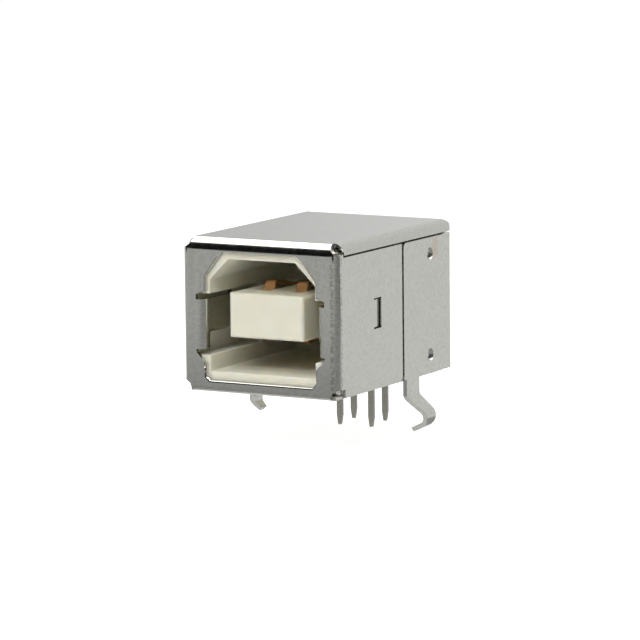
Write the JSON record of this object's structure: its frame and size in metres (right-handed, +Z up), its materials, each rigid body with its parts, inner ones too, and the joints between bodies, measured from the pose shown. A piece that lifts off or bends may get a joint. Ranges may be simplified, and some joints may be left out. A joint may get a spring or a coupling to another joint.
{
  "type": "usb-b socket",
  "caption": "Square right-angle board socket: folded metal shell with kinked board legs, moulded insulator with a tongue, and sprung contacts with solder tails.",
  "frame": {"origin": "midway between the two board legs, on the flat underside of the shell's bottom flange, which lies on the board", "axes": "+Z up from the board, -Y out of the mouth towards the plug, +X to the right as the mouth is faced"},
  "size_m": [0.014, 0.0162, 0.0145],
  "materials": {
    "shell_plating": "dull bright plating, finely mottled",
    "ivory_plastic": "moulded ivory",
    "contact_metal": "plated copper alloy"
  },
  "bodies": {
    "root": {"shell": "shell_plating", "insulator": "ivory_plastic", "contact_1": "contact_metal", "contact_2": "contact_metal", "contact_3": "contact_metal", "contact_4": "contact_metal"}
  },
  "joints": []
}
